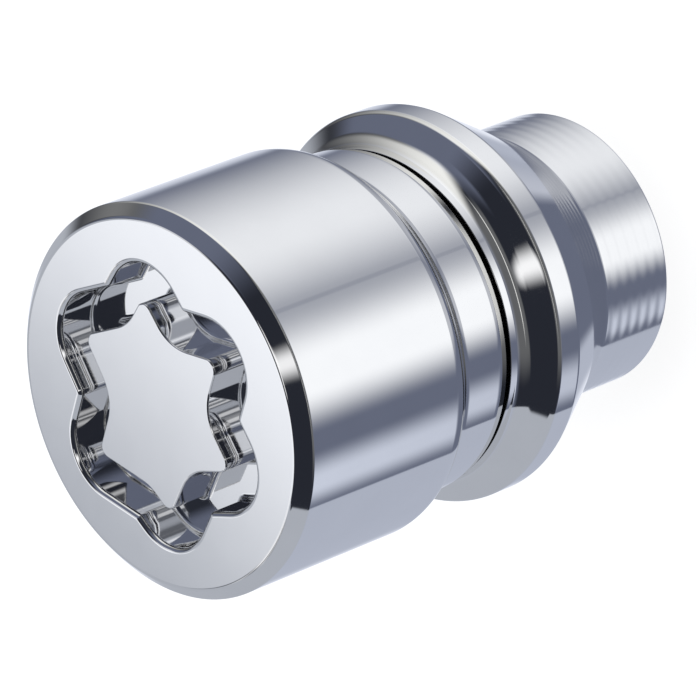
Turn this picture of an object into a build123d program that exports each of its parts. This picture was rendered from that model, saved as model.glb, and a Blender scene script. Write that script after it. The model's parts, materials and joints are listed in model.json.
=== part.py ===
from build123d import *
import os
from math import cos, radians, sin, tan

# Locking wheel nut: one piece of steel, turned from bar, with a coded key groove milled into its face and a
# blind thread tapped up through its shank. Millimetres and degrees.
# The origin is the centre of the shank's end face. +Z runs up the axis to the key face, and +X passes
# through the middle of a lobe of the key groove.

# Lengths along the axis, from the key face down to the shank's end
bevel_length = 0.68
head_length = 11.42
collar_length = 2.96
taper_length = 0.55
relief_width = 0.47
neck_length = 1.18
rim_length = 1.59
shank_length = 4.9
shank_end_chamfer = 0.15

# Diameters, and how far each step stands below the one above it
head_diameter = 22.0
bevel_width = 0.72
head_step = 1.2
taper_depth = 0.14
neck_step = 0.25
relief_depth = 0.85
flange_diameter = 22.26
shank_diameter = 15.7

# Slopes measured from the axis: the shoulder behind the head, the flare of the flange and the conical wheel seat
shoulder_slope = 52
flare_slope = 60
seat_slope = 30

# The round behind the head and the fillets in the inner corners of the turned profile
head_rear_round = 1.85
collar_fillet = 1.2
flare_fillet = 0.9

# Blind thread in the shank, its wall at the minor diameter of the thread
thread_diameter = 12.0
thread_pitch = 1.5
thread_depth_share = 5 * 3 ** 0.5 / 16
mouth_step = 0.3
drill_point_angle = 118
crown_thickness = 3.4

# Key groove: a wavy path round the face, with equal lobes and a waist of its own angle and reach after each lobe
groove_width = 2.2
groove_depth = 2.5
groove_edge_chamfer = 0.12
lobe_reach = 7.9
lobe_round = 1.7
waist_round = 1.55
waist_angles = [35, 24, 32, 39, 28, 30]
waist_reaches = [4.9, 5.7, 4.9, 6.05, 5.1, 4.75]


def fitted_radii(points, radii):
    """The corner radii of a closed outline, cut down where a side is too short for the rounds at its two ends."""
    corners = [Vector(*point) for point in points]
    count = len(corners)
    sides = [corners[i] - corners[i - 1] for i in range(count)]
    turns = [radians(sides[i].get_angle(sides[(i + 1) % count])) for i in range(count)]
    tangents = [radii[i] * tan(turns[i] / 2) for i in range(count)]
    largest_share = 0.98
    shares = []
    for i in range(count):
        room = largest_share * sides[i].length
        shares.append(room / max(room, tangents[i - 1] + tangents[i]))
    return [radii[i] * min(shares[i], shares[(i + 1) % count]) for i in range(count)]


def rounded_outline(corners):
    """A face inside a closed outline, given as points in order, each with the radius of its corner."""
    points = [point for point, radius in corners]
    radii = fitted_radii(points, [radius for point, radius in corners])
    return make_face(FilletPolyline(*points, radius=radii, close=True))


# Radii of the turned profile
head_radius = head_diameter / 2
collar_radius = head_radius - head_step
taper_radius = collar_radius - taper_depth
neck_radius = collar_radius - neck_step
relief_radius = neck_radius - relief_depth
flange_radius = flange_diameter / 2
shank_radius = shank_diameter / 2
thread_radius = thread_diameter / 2 - thread_depth_share * thread_pitch
mouth_radius = thread_diameter / 2 + mouth_step

# Heights of the turned profile, added up from the shank's end
rim_bottom = shank_length + (flange_radius - shank_radius) / tan(radians(seat_slope))
rim_top = rim_bottom + rim_length
neck_bottom = rim_top + (flange_radius - neck_radius) / tan(radians(flare_slope))
relief_bottom = neck_bottom + neck_length
taper_bottom = relief_bottom + relief_width
collar_bottom = taper_bottom + taper_length
collar_top = collar_bottom + collar_length
head_bottom = collar_top + (head_radius - collar_radius) / tan(radians(shoulder_slope))
head_top = head_bottom + head_length
face_height = head_top + bevel_length

# Heights of the blind hole
drill_tip = face_height - groove_depth - crown_thickness
thread_end = drill_tip - thread_radius / tan(radians(drill_point_angle / 2))
mouth_depth = mouth_radius - thread_radius


def turned_blank():
    """The nut before the groove is milled: half of its section, turned about the axis."""
    section = rounded_outline(
        [
            ((0, face_height), 0),
            ((head_radius - bevel_width, face_height), 0),
            ((head_radius, head_top), 0),
            ((head_radius, head_bottom), head_rear_round),
            ((collar_radius, collar_top), collar_fillet),
            ((collar_radius, collar_bottom), 0),
            ((taper_radius, taper_bottom), 0),
            ((relief_radius, taper_bottom), 0),
            ((relief_radius, relief_bottom), 0),
            ((neck_radius, relief_bottom), 0),
            ((neck_radius, neck_bottom), flare_fillet),
            ((flange_radius, rim_top), 0),
            ((flange_radius, rim_bottom), 0),
            ((shank_radius, shank_length), 0),
            ((shank_radius, shank_end_chamfer), 0),
            ((shank_radius - shank_end_chamfer, 0), 0),
            ((mouth_radius, 0), 0),
            ((thread_radius, mouth_depth), 0),
            ((thread_radius, thread_end), 0),
            ((0, drill_tip), 0),
        ]
    )
    return revolve(Plane.XZ * section, Axis.Z)


def groove_cutter():
    """The space that the key groove takes: a band of even width along the wavy path."""
    lobe_pitch = 360 / len(waist_angles)
    corners = []
    for lobe, waist_angle in enumerate(waist_angles):
        lobe_direction = radians(lobe * lobe_pitch)
        waist_direction = radians(lobe * lobe_pitch + waist_angle)
        waist_reach = waist_reaches[lobe]
        corners.append(((lobe_reach * cos(lobe_direction), lobe_reach * sin(lobe_direction)), lobe_round))
        corners.append(((waist_reach * cos(waist_direction), waist_reach * sin(waist_direction)), waist_round))
    middle = rounded_outline(corners)
    band = offset(middle, groove_width / 2) - offset(middle, -groove_width / 2)
    return extrude(Pos(0, 0, face_height) * band, -groove_depth)


def wheel_nut():
    """The finished nut, with the sharp edges of the groove broken on both sides."""
    nut = turned_blank() - groove_cutter()
    top_faces = nut.faces().filter_by(Axis.Z).group_by(Axis.Z)[-1]
    island, surround = sorted(top_faces, key=lambda face: len(face.inner_wires()))
    groove_edges = [*island.outer_wire().edges(), *surround.inner_wires()[0].edges()]
    return chamfer(groove_edges, groove_edge_chamfer)


os.makedirs("parts", exist_ok=True)
export_step(wheel_nut(), "parts/wheel_nut.step")
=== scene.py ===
import bpy
import bmesh
import json
import math
from mathutils import Matrix, Vector


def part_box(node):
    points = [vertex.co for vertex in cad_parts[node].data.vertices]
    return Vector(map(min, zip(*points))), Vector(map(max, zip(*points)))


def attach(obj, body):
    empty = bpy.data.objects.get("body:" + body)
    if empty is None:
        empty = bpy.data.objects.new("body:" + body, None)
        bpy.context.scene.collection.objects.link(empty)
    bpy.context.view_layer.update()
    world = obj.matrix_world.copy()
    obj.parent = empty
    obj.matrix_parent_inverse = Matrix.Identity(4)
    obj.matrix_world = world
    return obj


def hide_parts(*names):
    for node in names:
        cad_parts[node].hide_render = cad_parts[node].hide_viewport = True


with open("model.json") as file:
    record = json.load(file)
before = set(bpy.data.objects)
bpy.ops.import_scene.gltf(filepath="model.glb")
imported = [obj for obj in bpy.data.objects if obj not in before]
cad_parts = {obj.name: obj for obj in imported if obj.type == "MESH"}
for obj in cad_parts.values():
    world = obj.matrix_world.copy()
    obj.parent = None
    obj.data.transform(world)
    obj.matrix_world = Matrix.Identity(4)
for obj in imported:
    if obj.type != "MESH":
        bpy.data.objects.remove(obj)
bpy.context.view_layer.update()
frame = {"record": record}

# Turned body
# The nut is one piece of steel, turned from bar: head, collar, neck, flange with a conical seat, and shank.
# Every edge and inner corner is rounded by the tool, and the shank keeps the shallow rings of its feed.
# Sizes are in millimetres, heights are above the shank's end, and slopes are in degrees from the axis.
millimetres = 1000
lowest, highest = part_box("wheel_nut")
mounts = {mount["name"]: mount for mount in frame["record"]["mounts"]}
face_height = millimetres * highest.z
flange_radius = millimetres * (highest.x - lowest.x) / 2
shank_radius = mounts["shank"]["dims"]["r_mm"]
bevel_length = 0.68
bevel_width = 0.72
head_radius = 11.0
collar_radius = 9.8
collar_length = 2.96
taper_length = 0.55
taper_radius = 9.66
relief_width = 0.47
relief_radius = 8.7
neck_length = 1.18
neck_radius = 9.55
rim_length = 1.59
shank_length = 4.9
shoulder_slope = math.radians(52)
flare_slope = math.radians(60)
seat_slope = math.radians(30)
rim_bottom = shank_length + (flange_radius - shank_radius) / math.tan(seat_slope)
rim_top = rim_bottom + rim_length
neck_bottom = rim_top + (flange_radius - neck_radius) / math.tan(flare_slope)
relief_bottom = neck_bottom + neck_length
taper_bottom = relief_bottom + relief_width
collar_bottom = taper_bottom + taper_length
collar_top = collar_bottom + collar_length
head_bottom = collar_top + (head_radius - collar_radius) / math.tan(shoulder_slope)
head_top = face_height - bevel_length

# Rounds of the edges and inner corners, from the face down
face_round = 0.35
bevel_round = 0.2
head_rear_round = 1.5
collar_fillet = 1.2
collar_end_round = 1.7
taper_edge_round = 0.03
relief_corner_round = 0.1
neck_edge_round = 0.05
flare_fillet = 1.3
rim_front_round = 0.45
rim_rear_round = 0.4
seat_fillet = 0.5
shank_end_round = 0.15
arc_step = math.radians(6)


def rounded_line(corners):
    """Points along a line with rounded corners, each with the normal on the line's left.

    A corner is (across, up, radius). The first and last only give the line its direction there.
    """
    points = []
    for before, corner, after in zip(corners, corners[1:], corners[2:]):
        middle = Vector(corner[:2])
        heading_in = (middle - Vector(before[:2])).normalized()
        heading_out = (Vector(after[:2]) - middle).normalized()
        left = Vector((-heading_in.y, heading_in.x))
        turn = math.atan2(left.dot(heading_out), heading_in.dot(heading_out))
        radius = corner[2]
        start = middle - heading_in * radius * math.tan(abs(turn) / 2)
        side = math.copysign(1, turn)
        centre = start + left * side * radius
        steps = max(2, math.ceil(abs(turn) / arc_step))
        for step in range(steps + 1):
            normal = left.copy()
            normal.rotate(Matrix.Rotation(turn * step / steps, 2))
            place = centre - normal * side * radius
            points.append((place.x, place.y, normal.x, normal.y))
    return points


outside = rounded_line(
    [
        (0, face_height, 0),
        (head_radius - bevel_width, face_height, face_round),
        (head_radius, head_top, bevel_round),
        (head_radius, head_bottom, head_rear_round),
        (collar_radius, collar_top, collar_fillet),
        (collar_radius, collar_bottom, collar_end_round),
        (taper_radius, taper_bottom, taper_edge_round),
        (relief_radius, taper_bottom, relief_corner_round),
        (relief_radius, relief_bottom, relief_corner_round),
        (neck_radius, relief_bottom, neck_edge_round),
        (neck_radius, neck_bottom, flare_fillet),
        (flange_radius, rim_top, rim_front_round),
        (flange_radius, rim_bottom, rim_rear_round),
        (shank_radius, shank_length, seat_fillet),
        (shank_radius, 0, 0),
    ]
)

# The feed marks: a shallow wave down the shank, with its crests at the full radius
feed_pitch = 0.76
feed_depth = 0.007
feed_steps = 10
rings_top = outside[-1][1]
ring_count = int((rings_top - shank_end_round) / feed_pitch)
feed_marks = []
for step in range(1, ring_count * feed_steps + 1):
    phase = 2 * math.pi * step / feed_steps
    slope = feed_depth * math.pi / feed_pitch * math.sin(phase)
    across = shank_radius - feed_depth * (1 - math.cos(phase)) / 2
    normal = Vector((1, -slope)).normalized()
    feed_marks.append((across, rings_top - step * feed_pitch / feed_steps, normal.x, normal.y))

# Threaded hole
# A blind hole drilled up the shank, countersunk at its mouth and tapped M12 by 1.5 for the wheel stud.
# The thread stops short of the drill's end, and the drill leaves a pointed bottom.
thread_radius = mounts["thread"]["dims"]["r_mm"]
thread_major_radius = 6.0
thread_pitch = 1.5
thread_crest_share = 0.25
thread_root_share = 0.125
thread_runout = 2.5
plain_end = 0.5
rows_per_pitch = 10
mouth_radius = 6.3
mouth_depth = mouth_radius - thread_radius
mouth_round = 0.15
drill_point_angle = math.radians(118)
half_point = drill_point_angle / 2
thread_end = mouth_depth + mounts["thread"]["dims"]["length_mm"]
drill_tip = thread_end + thread_radius / math.tan(half_point)
drill_corner_normal = Vector((-1 - math.cos(half_point), -math.sin(half_point))).normalized()

shank_end = rounded_line(
    [
        (shank_radius, rings_top, 0),
        (shank_radius, 0, shank_end_round),
        (mouth_radius, 0, mouth_round),
        (thread_radius, mouth_depth, 0),
    ]
)


def thread_wall(height, turn):
    """Radius of the tapped wall at a height and a share of a turn: right-hand, with flat-topped ridges."""
    phase = (height / thread_pitch - turn) % 1
    flanks_share = 1 - thread_crest_share - thread_root_share
    from_root = abs(phase - 0.5) * 2
    depth = (1 - from_root - thread_crest_share) / flanks_share
    fade = (thread_end - plain_end - height) / thread_runout
    cut = min(max(depth, 0), 1) * min(max(fade, 0), 1)
    tapped = thread_radius + (thread_major_radius - thread_radius) * cut
    return max(tapped, mouth_radius - height)


# Key groove
# A closed wavy slot of even width, milled into the face for the one key that fits it. It has six equal lobes
# and, after each, a waist of its own angle and reach. The island inside stays level with the face.
groove_width = 2.2
groove_depth = 2.5
groove_floor_fillet = 0.3
island_edge_round = 0.1
surround_edge_round = 0.3
lobe_reach = 7.9
lobe_round = 1.7
waist_round = 1.55
waist_angles = [35, 24, 32, 39, 28, 30]
waist_reaches = [4.9, 5.7, 4.9, 6.05, 5.1, 4.75]
lobe_pitch = 360 / len(waist_angles)
path_corners = []
for lobe, (waist_angle, waist_reach) in enumerate(zip(waist_angles, waist_reaches)):
    for angle, reach, radius in ((0, lobe_reach, lobe_round), (waist_angle, waist_reach, waist_round)):
        direction = math.radians(lobe * lobe_pitch + angle)
        path_corners.append((reach * math.cos(direction), reach * math.sin(direction), radius))
groove_path = rounded_line([path_corners[-1], *path_corners, path_corners[0]])
half_width = groove_width / 2
groove_floor = face_height - groove_depth
groove_section = rounded_line(
    [
        (-groove_width, face_height, 0),
        (-half_width, face_height, island_edge_round),
        (-half_width, groove_floor, groove_floor_fillet),
        (half_width, groove_floor, groove_floor_fillet),
        (half_width, face_height, surround_edge_round),
        (groove_width, face_height, 0),
    ]
)

# One closed mesh
# Rings of points are joined to each other in order: down the outside, up the hole and across the groove. All
# points but the thread's keep the normal of the true surface, so that the plating mirrors without ripples.
points_around = 192
mesh = bmesh.new()
true_normals = []


def add_point(place, normal):
    """A point of the mesh, placed in millimetres. No normal means the mesh's own."""
    point = mesh.verts.new(Vector(place) / millimetres)
    true_normals.append(normal)
    return point


def join_rings(first, second):
    """A closed band of faces between two rings with as many points each."""
    for i in range(len(first)):
        mesh.faces.new((first[i - 1], second[i - 1], second[i], first[i]))


def turned_ring(across, height, normal_across, normal_up):
    """A ring about the axis through one point of the turned section."""
    ring = []
    for i in range(points_around):
        angle = 2 * math.pi * i / points_around
        direction = Vector((math.cos(angle), math.sin(angle), 0))
        normal = direction * normal_across + Vector((0, 0, normal_up))
        ring.append(add_point((across * direction.x, across * direction.y, height), normal))
    return ring


def thread_ring(height):
    """A ring of the tapped wall, which winds, so it has its own radius at each point."""
    ring = []
    for i in range(points_around):
        angle = 2 * math.pi * i / points_around
        across = thread_wall(height, i / points_around)
        ring.append(add_point((across * math.cos(angle), across * math.sin(angle), height), None))
    return ring


turned_rings = [turned_ring(*point) for point in [*outside, *feed_marks, *shank_end]]
thread_start = shank_end[-1][1]
row_height = thread_pitch / rows_per_pitch
row_count = int((thread_end - thread_start) / row_height)
for row in range(1, row_count + 1):
    turned_rings.append(thread_ring(thread_start + row * row_height))
turned_rings.append(turned_ring(thread_radius, thread_end, *drill_corner_normal))
for first, second in zip(turned_rings, turned_rings[1:]):
    join_rings(first, second)
tip = add_point((0, 0, drill_tip), Vector((0, 0, -1)))
for i in range(points_around):
    mesh.faces.new((turned_rings[-1][i - 1], tip, turned_rings[-1][i]))

groove_rings = []
for aside, height, normal_aside, normal_up in groove_section:
    ring = []
    for x, y, normal_x, normal_y in groove_path:
        outward = Vector((-normal_x, -normal_y, 0))
        place = Vector((x, y, height)) + outward * aside
        ring.append(add_point(place, outward * normal_aside + Vector((0, 0, normal_up))))
    groove_rings.append(ring)
for first, second in zip(groove_rings, groove_rings[1:]):
    join_rings(second, first)


def ring_edges(ring):
    """The edges from point to point of a ring."""
    return [mesh.edges.get((ring[i - 1], ring[i])) for i in range(len(ring))]


# The flat island and the flat surround of the groove
island_edges = ring_edges(groove_rings[0])
surround_edges = ring_edges(groove_rings[-1]) + ring_edges(turned_rings[0])
for flat_edges in (island_edges, surround_edges):
    bmesh.ops.triangle_fill(mesh, use_beauty=True, edges=flat_edges, normal=(0, 0, 1))
bmesh.ops.recalc_face_normals(mesh, faces=mesh.faces)

nut_mesh = bpy.data.meshes.new("locking_wheel_nut")
mesh.to_mesh(nut_mesh)
mesh.free()
nut_mesh.shade_smooth()
own_normals = [normal.vector.copy() for normal in nut_mesh.vertex_normals]
nut_mesh.normals_split_custom_set_from_vertices(
    [own if true is None else true for own, true in zip(own_normals, true_normals)]
)
nut = bpy.data.objects.new("locking_wheel_nut", nut_mesh)
bpy.context.scene.collection.objects.link(nut)
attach(nut, "root")
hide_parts("wheel_nut")


# Chrome plating
# Bright decorative chrome over the turned steel, cool and very smooth, with faint clouds from its bath.
# It is a little duller on the shank. The narrow relief groove gets painted shade: a near-black colour stands
# in for the shade inside the slot.
class Value:
    """A shader socket that takes part in Python expressions: each operator adds its Math node."""

    def __init__(self, tree, socket=None):
        self.tree = tree
        self.socket = socket

    def node(self, kind, settings=None, inputs=None, output=0):
        """One output of any other node, from its type, its settings and the values or links it takes."""
        made = self.tree.nodes.new(kind)
        for name, setting in (settings or {}).items():
            setattr(made, name, setting)
        for name, value in (inputs or {}).items():
            if isinstance(value, Value):
                self.tree.links.new(value.socket, made.inputs[name])
            else:
                made.inputs[name].default_value = value
        return Value(self.tree, made.outputs[output])

    def math(self, operation, first, second=0.0):
        """A Math node, by the name of its operation."""
        return self.node("ShaderNodeMath", {"operation": operation}, {0: first, 1: second})

    def __add__(self, other):
        return self.math("ADD", self, other)

    def __radd__(self, other):
        return self.math("ADD", other, self)

    def __sub__(self, other):
        return self.math("SUBTRACT", self, other)

    def __rsub__(self, other):
        return self.math("SUBTRACT", other, self)

    def __mul__(self, other):
        return self.math("MULTIPLY", self, other)

    def __rmul__(self, other):
        return self.math("MULTIPLY", other, self)

    def rise(self, start, end):
        """0 below start, 1 above end, and a smooth climb between them."""
        limits = {"Value": self, "From Min": start, "From Max": end}
        return self.node("ShaderNodeMapRange", {"interpolation_type": "SMOOTHSTEP"}, limits)

    def mix(self, factor, low, high):
        """A colour between two others, by a factor from 0 to 1."""
        colours = {"Factor": factor, "A": low, "B": high}
        return self.node("ShaderNodeMix", {"data_type": "RGBA"}, colours, output="Result")


chrome_dark = (0.84, 0.84, 0.845, 1)
chrome_light = (0.89, 0.89, 0.892, 1)
# Painted shade: a near-black colour for the inside of the narrow relief groove, which lies in shade
relief_painted_shade = (0.02, 0.02, 0.023, 1)
relief_shade_blend = 0.03
cloud_grain = {"Scale": 420.0, "Detail": 3.0}
polish = 0.03
cloud_dulling = 0.03
shank_dulling = 0.05
shank_fade = 0.4

chrome = bpy.data.materials.new("bright_chrome")
chrome.use_nodes = True
plating = chrome.node_tree.nodes["Principled BSDF"]
plating.inputs["Metallic"].default_value = 1.0
skin = Value(chrome.node_tree)
place = skin.node("ShaderNodeTexCoord", output="Object")
height = millimetres * skin.node("ShaderNodeSeparateXYZ", inputs={"Vector": place}, output="Z")
flat_place = skin.node("ShaderNodeVectorMath", {"operation": "MULTIPLY"}, {0: place, 1: (1, 1, 0)})
from_axis = skin.node("ShaderNodeVectorMath", {"operation": "LENGTH"}, {0: flat_place}, output="Value")
from_axis = millimetres * from_axis
clouds = skin.node("ShaderNodeTexNoise", inputs={"Vector": place, **cloud_grain})

shank_top = shank_length - seat_fillet
on_shank = 1 - height.rise(shank_top, shank_top + shank_fade)
roughness = polish + cloud_dulling * clouds + shank_dulling * on_shank
chrome.node_tree.links.new(roughness.socket, plating.inputs["Roughness"])

# Painted shade in the relief groove, between the neck and the taper. The thread runs up behind the groove
# and keeps its plating there
above_neck = height.rise(relief_bottom - relief_shade_blend, relief_bottom + relief_shade_blend)
below_taper = 1 - height.rise(taper_bottom - relief_shade_blend, taper_bottom + relief_shade_blend)
off_thread = from_axis.rise(thread_major_radius, relief_radius)
relief_shade_mask = above_neck * below_taper * off_thread
tint = skin.mix(relief_shade_mask, skin.mix(clouds, chrome_dark, chrome_light), relief_painted_shade)
chrome.node_tree.links.new(tint.socket, plating.inputs["Base Color"])
nut_mesh.materials.append(chrome)

# Floor
# A plain pale sheet under the nut, wide enough to fill the view. It glows a little, so that it stays white
# with only a soft shadow, and the plating mirrors the studio instead of it. Its size is in metres.
floor_half = 3.0
floor_colour = (0.45, 0.45, 0.45, 1)
floor_glow = 0.86
floor_roughness = 0.9
floor_mesh = bpy.data.meshes.new("floor")
floor_corners = [(-floor_half, -floor_half, 0), (floor_half, -floor_half, 0)]
floor_corners += [(floor_half, floor_half, 0), (-floor_half, floor_half, 0)]
floor_mesh.from_pydata(floor_corners, [], [(0, 1, 2, 3)])
floor = bpy.data.objects.new("floor", floor_mesh)
bpy.context.scene.collection.objects.link(floor)
floor.visible_glossy = False
pale = bpy.data.materials.new("pale_floor")
pale.use_nodes = True
floor_paint = pale.node_tree.nodes["Principled BSDF"]
floor_paint.inputs["Base Color"].default_value = floor_colour
floor_paint.inputs["Roughness"].default_value = floor_roughness
floor_paint.inputs["Specular IOR Level"].default_value = 0.0
floor_paint.inputs["Emission Color"].default_value = (1, 1, 1, 1)
floor_paint.inputs["Emission Strength"].default_value = floor_glow
floor_mesh.materials.append(pale)

# Studio
# Soft white panels stand round the nut and leave dark gaps between them, which give the plating its bands.
# Bearings are in degrees round the nut: the viewer is at 31, and the top edge of the picture is at 121.
# Heights are the upward part of a direction, from -1 straight down to 1 straight up.
studio_turn = 39.3
world = bpy.data.worlds.new("studio")
bpy.context.scene.world = world
world.use_nodes = True
air = Value(world.node_tree)
ray = air.node("ShaderNodeTexCoord", output="Generated")
ray_parts = [air.node("ShaderNodeSeparateXYZ", inputs={"Vector": ray}, output=axis) for axis in "XYZ"]
east, north, up = ray_parts
ray_angle = air.math("ARCTAN2", north, east) * math.degrees(1)
bearing = air.math("FLOORED_MODULO", ray_angle + studio_turn, 360)


def toward(angle):
    """How far a direction goes towards a bearing, from -1 to 1."""
    turned = math.radians(angle - studio_turn)
    return east * math.cos(turned) + north * math.sin(turned)


def panel(start, full, fading, end):
    """A share of light by bearing: it climbs from start to full, and fades out from fading to end."""
    from_start = air.math("FLOORED_MODULO", bearing - start, 360)
    return from_start.rise(0, full - start) * (1 - from_start.rise(fading - start, end - start))


def layer(start, full, fading, end):
    """A share of light by height, with the same four limits."""
    return up.rise(start, full) * (1 - up.rise(fading, end))


# Straight down is a dark patch, and round it, low down, the panels are dimmer. The gaps between the panels
# are faintly lit, less so as they climb.
patch_stretch = 1.25
patch_shift = 0.1
low_share = 0.43
gap_strength = 0.16
gap_fade = 0.85
below = 1 - up.rise(-0.3, 0.0)
patch_across = patch_stretch * toward(0)
patch_along = toward(90) + patch_shift
patch_reach = air.math("SQRT", patch_across * patch_across + patch_along * patch_along)
clear = 1 - below * (1 - patch_reach.rise(0.37, 0.45))
halo = clear * (low_share + (1 - low_share) * up.rise(-0.77, -0.745))
gap_light = gap_strength * (1 - gap_fade * up.rise(-0.66, -0.3))

# A white panel low on the viewer's side, one towards the top of the picture, with a fine seam where the two
# meet, and one towards the bottom. The top panel gets brighter as it climbs, and its two ends lean.
near_strength = 0.93
top_strength = 0.77
top_gain = 0.2
top_late_gain = 0.05
top_start_lean = 35
top_end_lean = 0.2
bottom_strength = 0.6
seam_shade = 0.25
near_light = near_strength * panel(-17, 8, 24, 60) * halo * (1 - up.rise(-0.63, -0.59))
top_climb = 1 + top_gain * up.rise(-0.64, -0.6) + top_late_gain * up.rise(-0.3, 0.0)
top_start = 1 - up.rise(-0.62, -0.5) * (1 - (bearing - top_start_lean * up).rise(71, 96))
top_end = 1 - (up + top_end_lean * bearing.rise(110, 140)).rise(0.25, 0.6)
top_light = top_strength * panel(35, 94, 98, 188) * halo * top_climb * top_start * top_end
bottom_light = bottom_strength * panel(296, 311, 316, 334) * layer(-0.8, -0.6, -0.62, -0.57)
seam = 1 - seam_shade * panel(53.5, 54.5, 56, 57)

# A faint glow on the viewer's side, and a thin bright line over the horizon there, which the flange throws
# onto the tapered end of the collar
glow_strength = 0.11
horizon_strength = 0.85
viewer_glow = glow_strength * panel(-40, -15, 60, 85) * layer(-0.62, -0.5, 0.38, 0.5)
horizon_light = horizon_strength * panel(-17, 8, 60, 85) * layer(0.13, 0.15, 0.18, 0.2)

# The table top on the far side and towards the bottom of the picture, with two straight edges, a brighter
# stretch in the middle and a pale one farther down
far_strength = 0.38
low_strength = 0.2
table_strength = 0.336
table_gain = 0.114
table_tilt = 1.712
far_light = far_strength * panel(178, 206, 212, 236) * layer(-0.82, -0.75, -0.55, -0.35) * clear
low_light = low_strength * panel(110, 140, 200, 230) * (1 - up.rise(-0.94, -0.87)) * clear
table_front = 1 - (up + table_tilt * toward(54.27)).rise(-0.03, 0.03)
table_right = 1 - toward(73).rise(-0.555, -0.545) * bearing.rise(240, 250)
table = (1 - toward(90).rise(-0.1, 0.08)) * panel(150, 170, 310, 320) * table_front * table_right
table_light = table * (table_strength + table_gain * up.rise(-0.6, -0.3)) * clear

# Higher up: a dim wall towards the top of the picture, a white card on the far side that lights the face,
# and two bright slats in a dark window beside it
wall_strength = 0.13
card_strength = 0.6
slat_strength = 0.6
window_shade = 0.7
wall_light = wall_strength * panel(70, 110, 165, 190) * layer(0.25, 0.4, 0.8, 0.92)
card_edge = toward(45.4).rise(-0.767, -0.735)
card_foot = 1 - (1 - up.rise(0.64, 0.74)) * (1 - bearing.rise(196, 206))
card = panel(152, 168, 230, 250) * layer(-0.3, 0.5, 0.84, 0.9) * card_edge * card_foot
card_light = card_strength * card
window = layer(0.54, 0.58, 0.76, 0.8)
slat_light = slat_strength * window * (panel(228, 231, 236, 239) + panel(248, 251, 256, 259))
table_light = table_light * (1 - window_shade * window * panel(217, 221, 260, 266))

# A strip lamp over the viewer, narrower towards its top, whose image is the highlight on the bevel and the
# flange, and a small round lamp straight above
strip_bearing = 26
strip_strength = 1.05
strip_narrowing = 0.2
lamp_strength = 0.8
strip_side = air.math("ABSOLUTE", toward(strip_bearing + 90))
strip_side = strip_side * (1 + strip_narrowing * up.rise(0.85, 0.95))
strip = (1 - strip_side.rise(0.01, 0.15)) * toward(strip_bearing).rise(0.0, 0.2) * up.rise(0.3, 0.9)
strip_light = strip_strength * strip
lamp_light = lamp_strength * up.rise(0.984, 0.988)

# The lights are added up in four tints. The camera itself sees a plain pale backdrop.
panel_tint = (1.0, 1.0, 0.96)
cool_tint = (0.95, 1.0, 1.1)
blue_tint = (0.89, 1.0, 1.4)
backdrop_colour = (0.95, 0.95, 0.95, 1)
white_light = far_light + low_light + strip_light + slat_light + card_light + lamp_light
panel_light = (near_light + top_light) * seam + viewer_glow + horizon_light
cool_light = table_light + bottom_light
blue_light = gap_light + wall_light
channels = {}
for index, channel in enumerate(("Red", "Green", "Blue")):
    tinted_panels = panel_tint[index] * panel_light
    tinted_rest = cool_tint[index] * cool_light + blue_tint[index] * blue_light
    channels[channel] = white_light + tinted_panels + tinted_rest
studio_light = air.node("ShaderNodeCombineColor", inputs=channels)
seen = air.node("ShaderNodeLightPath", output="Is Camera Ray")
sky = air.mix(seen, studio_light, backdrop_colour)
world.node_tree.links.new(sky.socket, world.node_tree.nodes["Background"].inputs["Color"])

# One wide ceiling panel lights the floor and gives the nut its shadow, in metres and watts
ceiling_width = 1.2
ceiling_power = 6.0
ceiling_place = (0.2, 0.3, 1.2)
ceiling_lamp = bpy.data.lights.new("ceiling_panel", "AREA")
ceiling_lamp.size = ceiling_width
ceiling_lamp.energy = ceiling_power
ceiling = bpy.data.objects.new("ceiling_panel", ceiling_lamp)
ceiling.location = ceiling_place
ceiling.visible_glossy = False
bpy.context.scene.collection.objects.link(ceiling)

# Camera
# A long lens, high in front of the nut and rolled so that the nut's axis runs up to the right. It aims at a
# point near the middle of the nut. Places are in metres and the lens in millimetres.
aim = Vector((-0.00014, -0.00093, 0.01741))
view_azimuth = math.radians(-8.52)
view_elevation = math.radians(40.68)
view_roll = math.radians(-111.2)
view_distance = 0.3797
lens_length = 360
backward = Vector((math.cos(view_azimuth), math.sin(view_azimuth), 0)) * math.cos(view_elevation)
backward.z = math.sin(view_elevation)
level = Vector((0, 0, 1)).cross(backward).normalized()
upright = backward.cross(level)
picture_right = level * math.cos(view_roll) + upright * math.sin(view_roll)
axes = Matrix((picture_right, backward.cross(picture_right), backward)).transposed()
camera_data = bpy.data.cameras.new("camera")
camera_data.lens = lens_length
camera = bpy.data.objects.new("camera", camera_data)
camera.matrix_world = Matrix.Translation(aim + backward * view_distance) @ axes.to_4x4()
bpy.context.scene.collection.objects.link(camera)
bpy.context.scene.camera = camera
bpy.context.scene.view_settings.view_transform = "Standard"
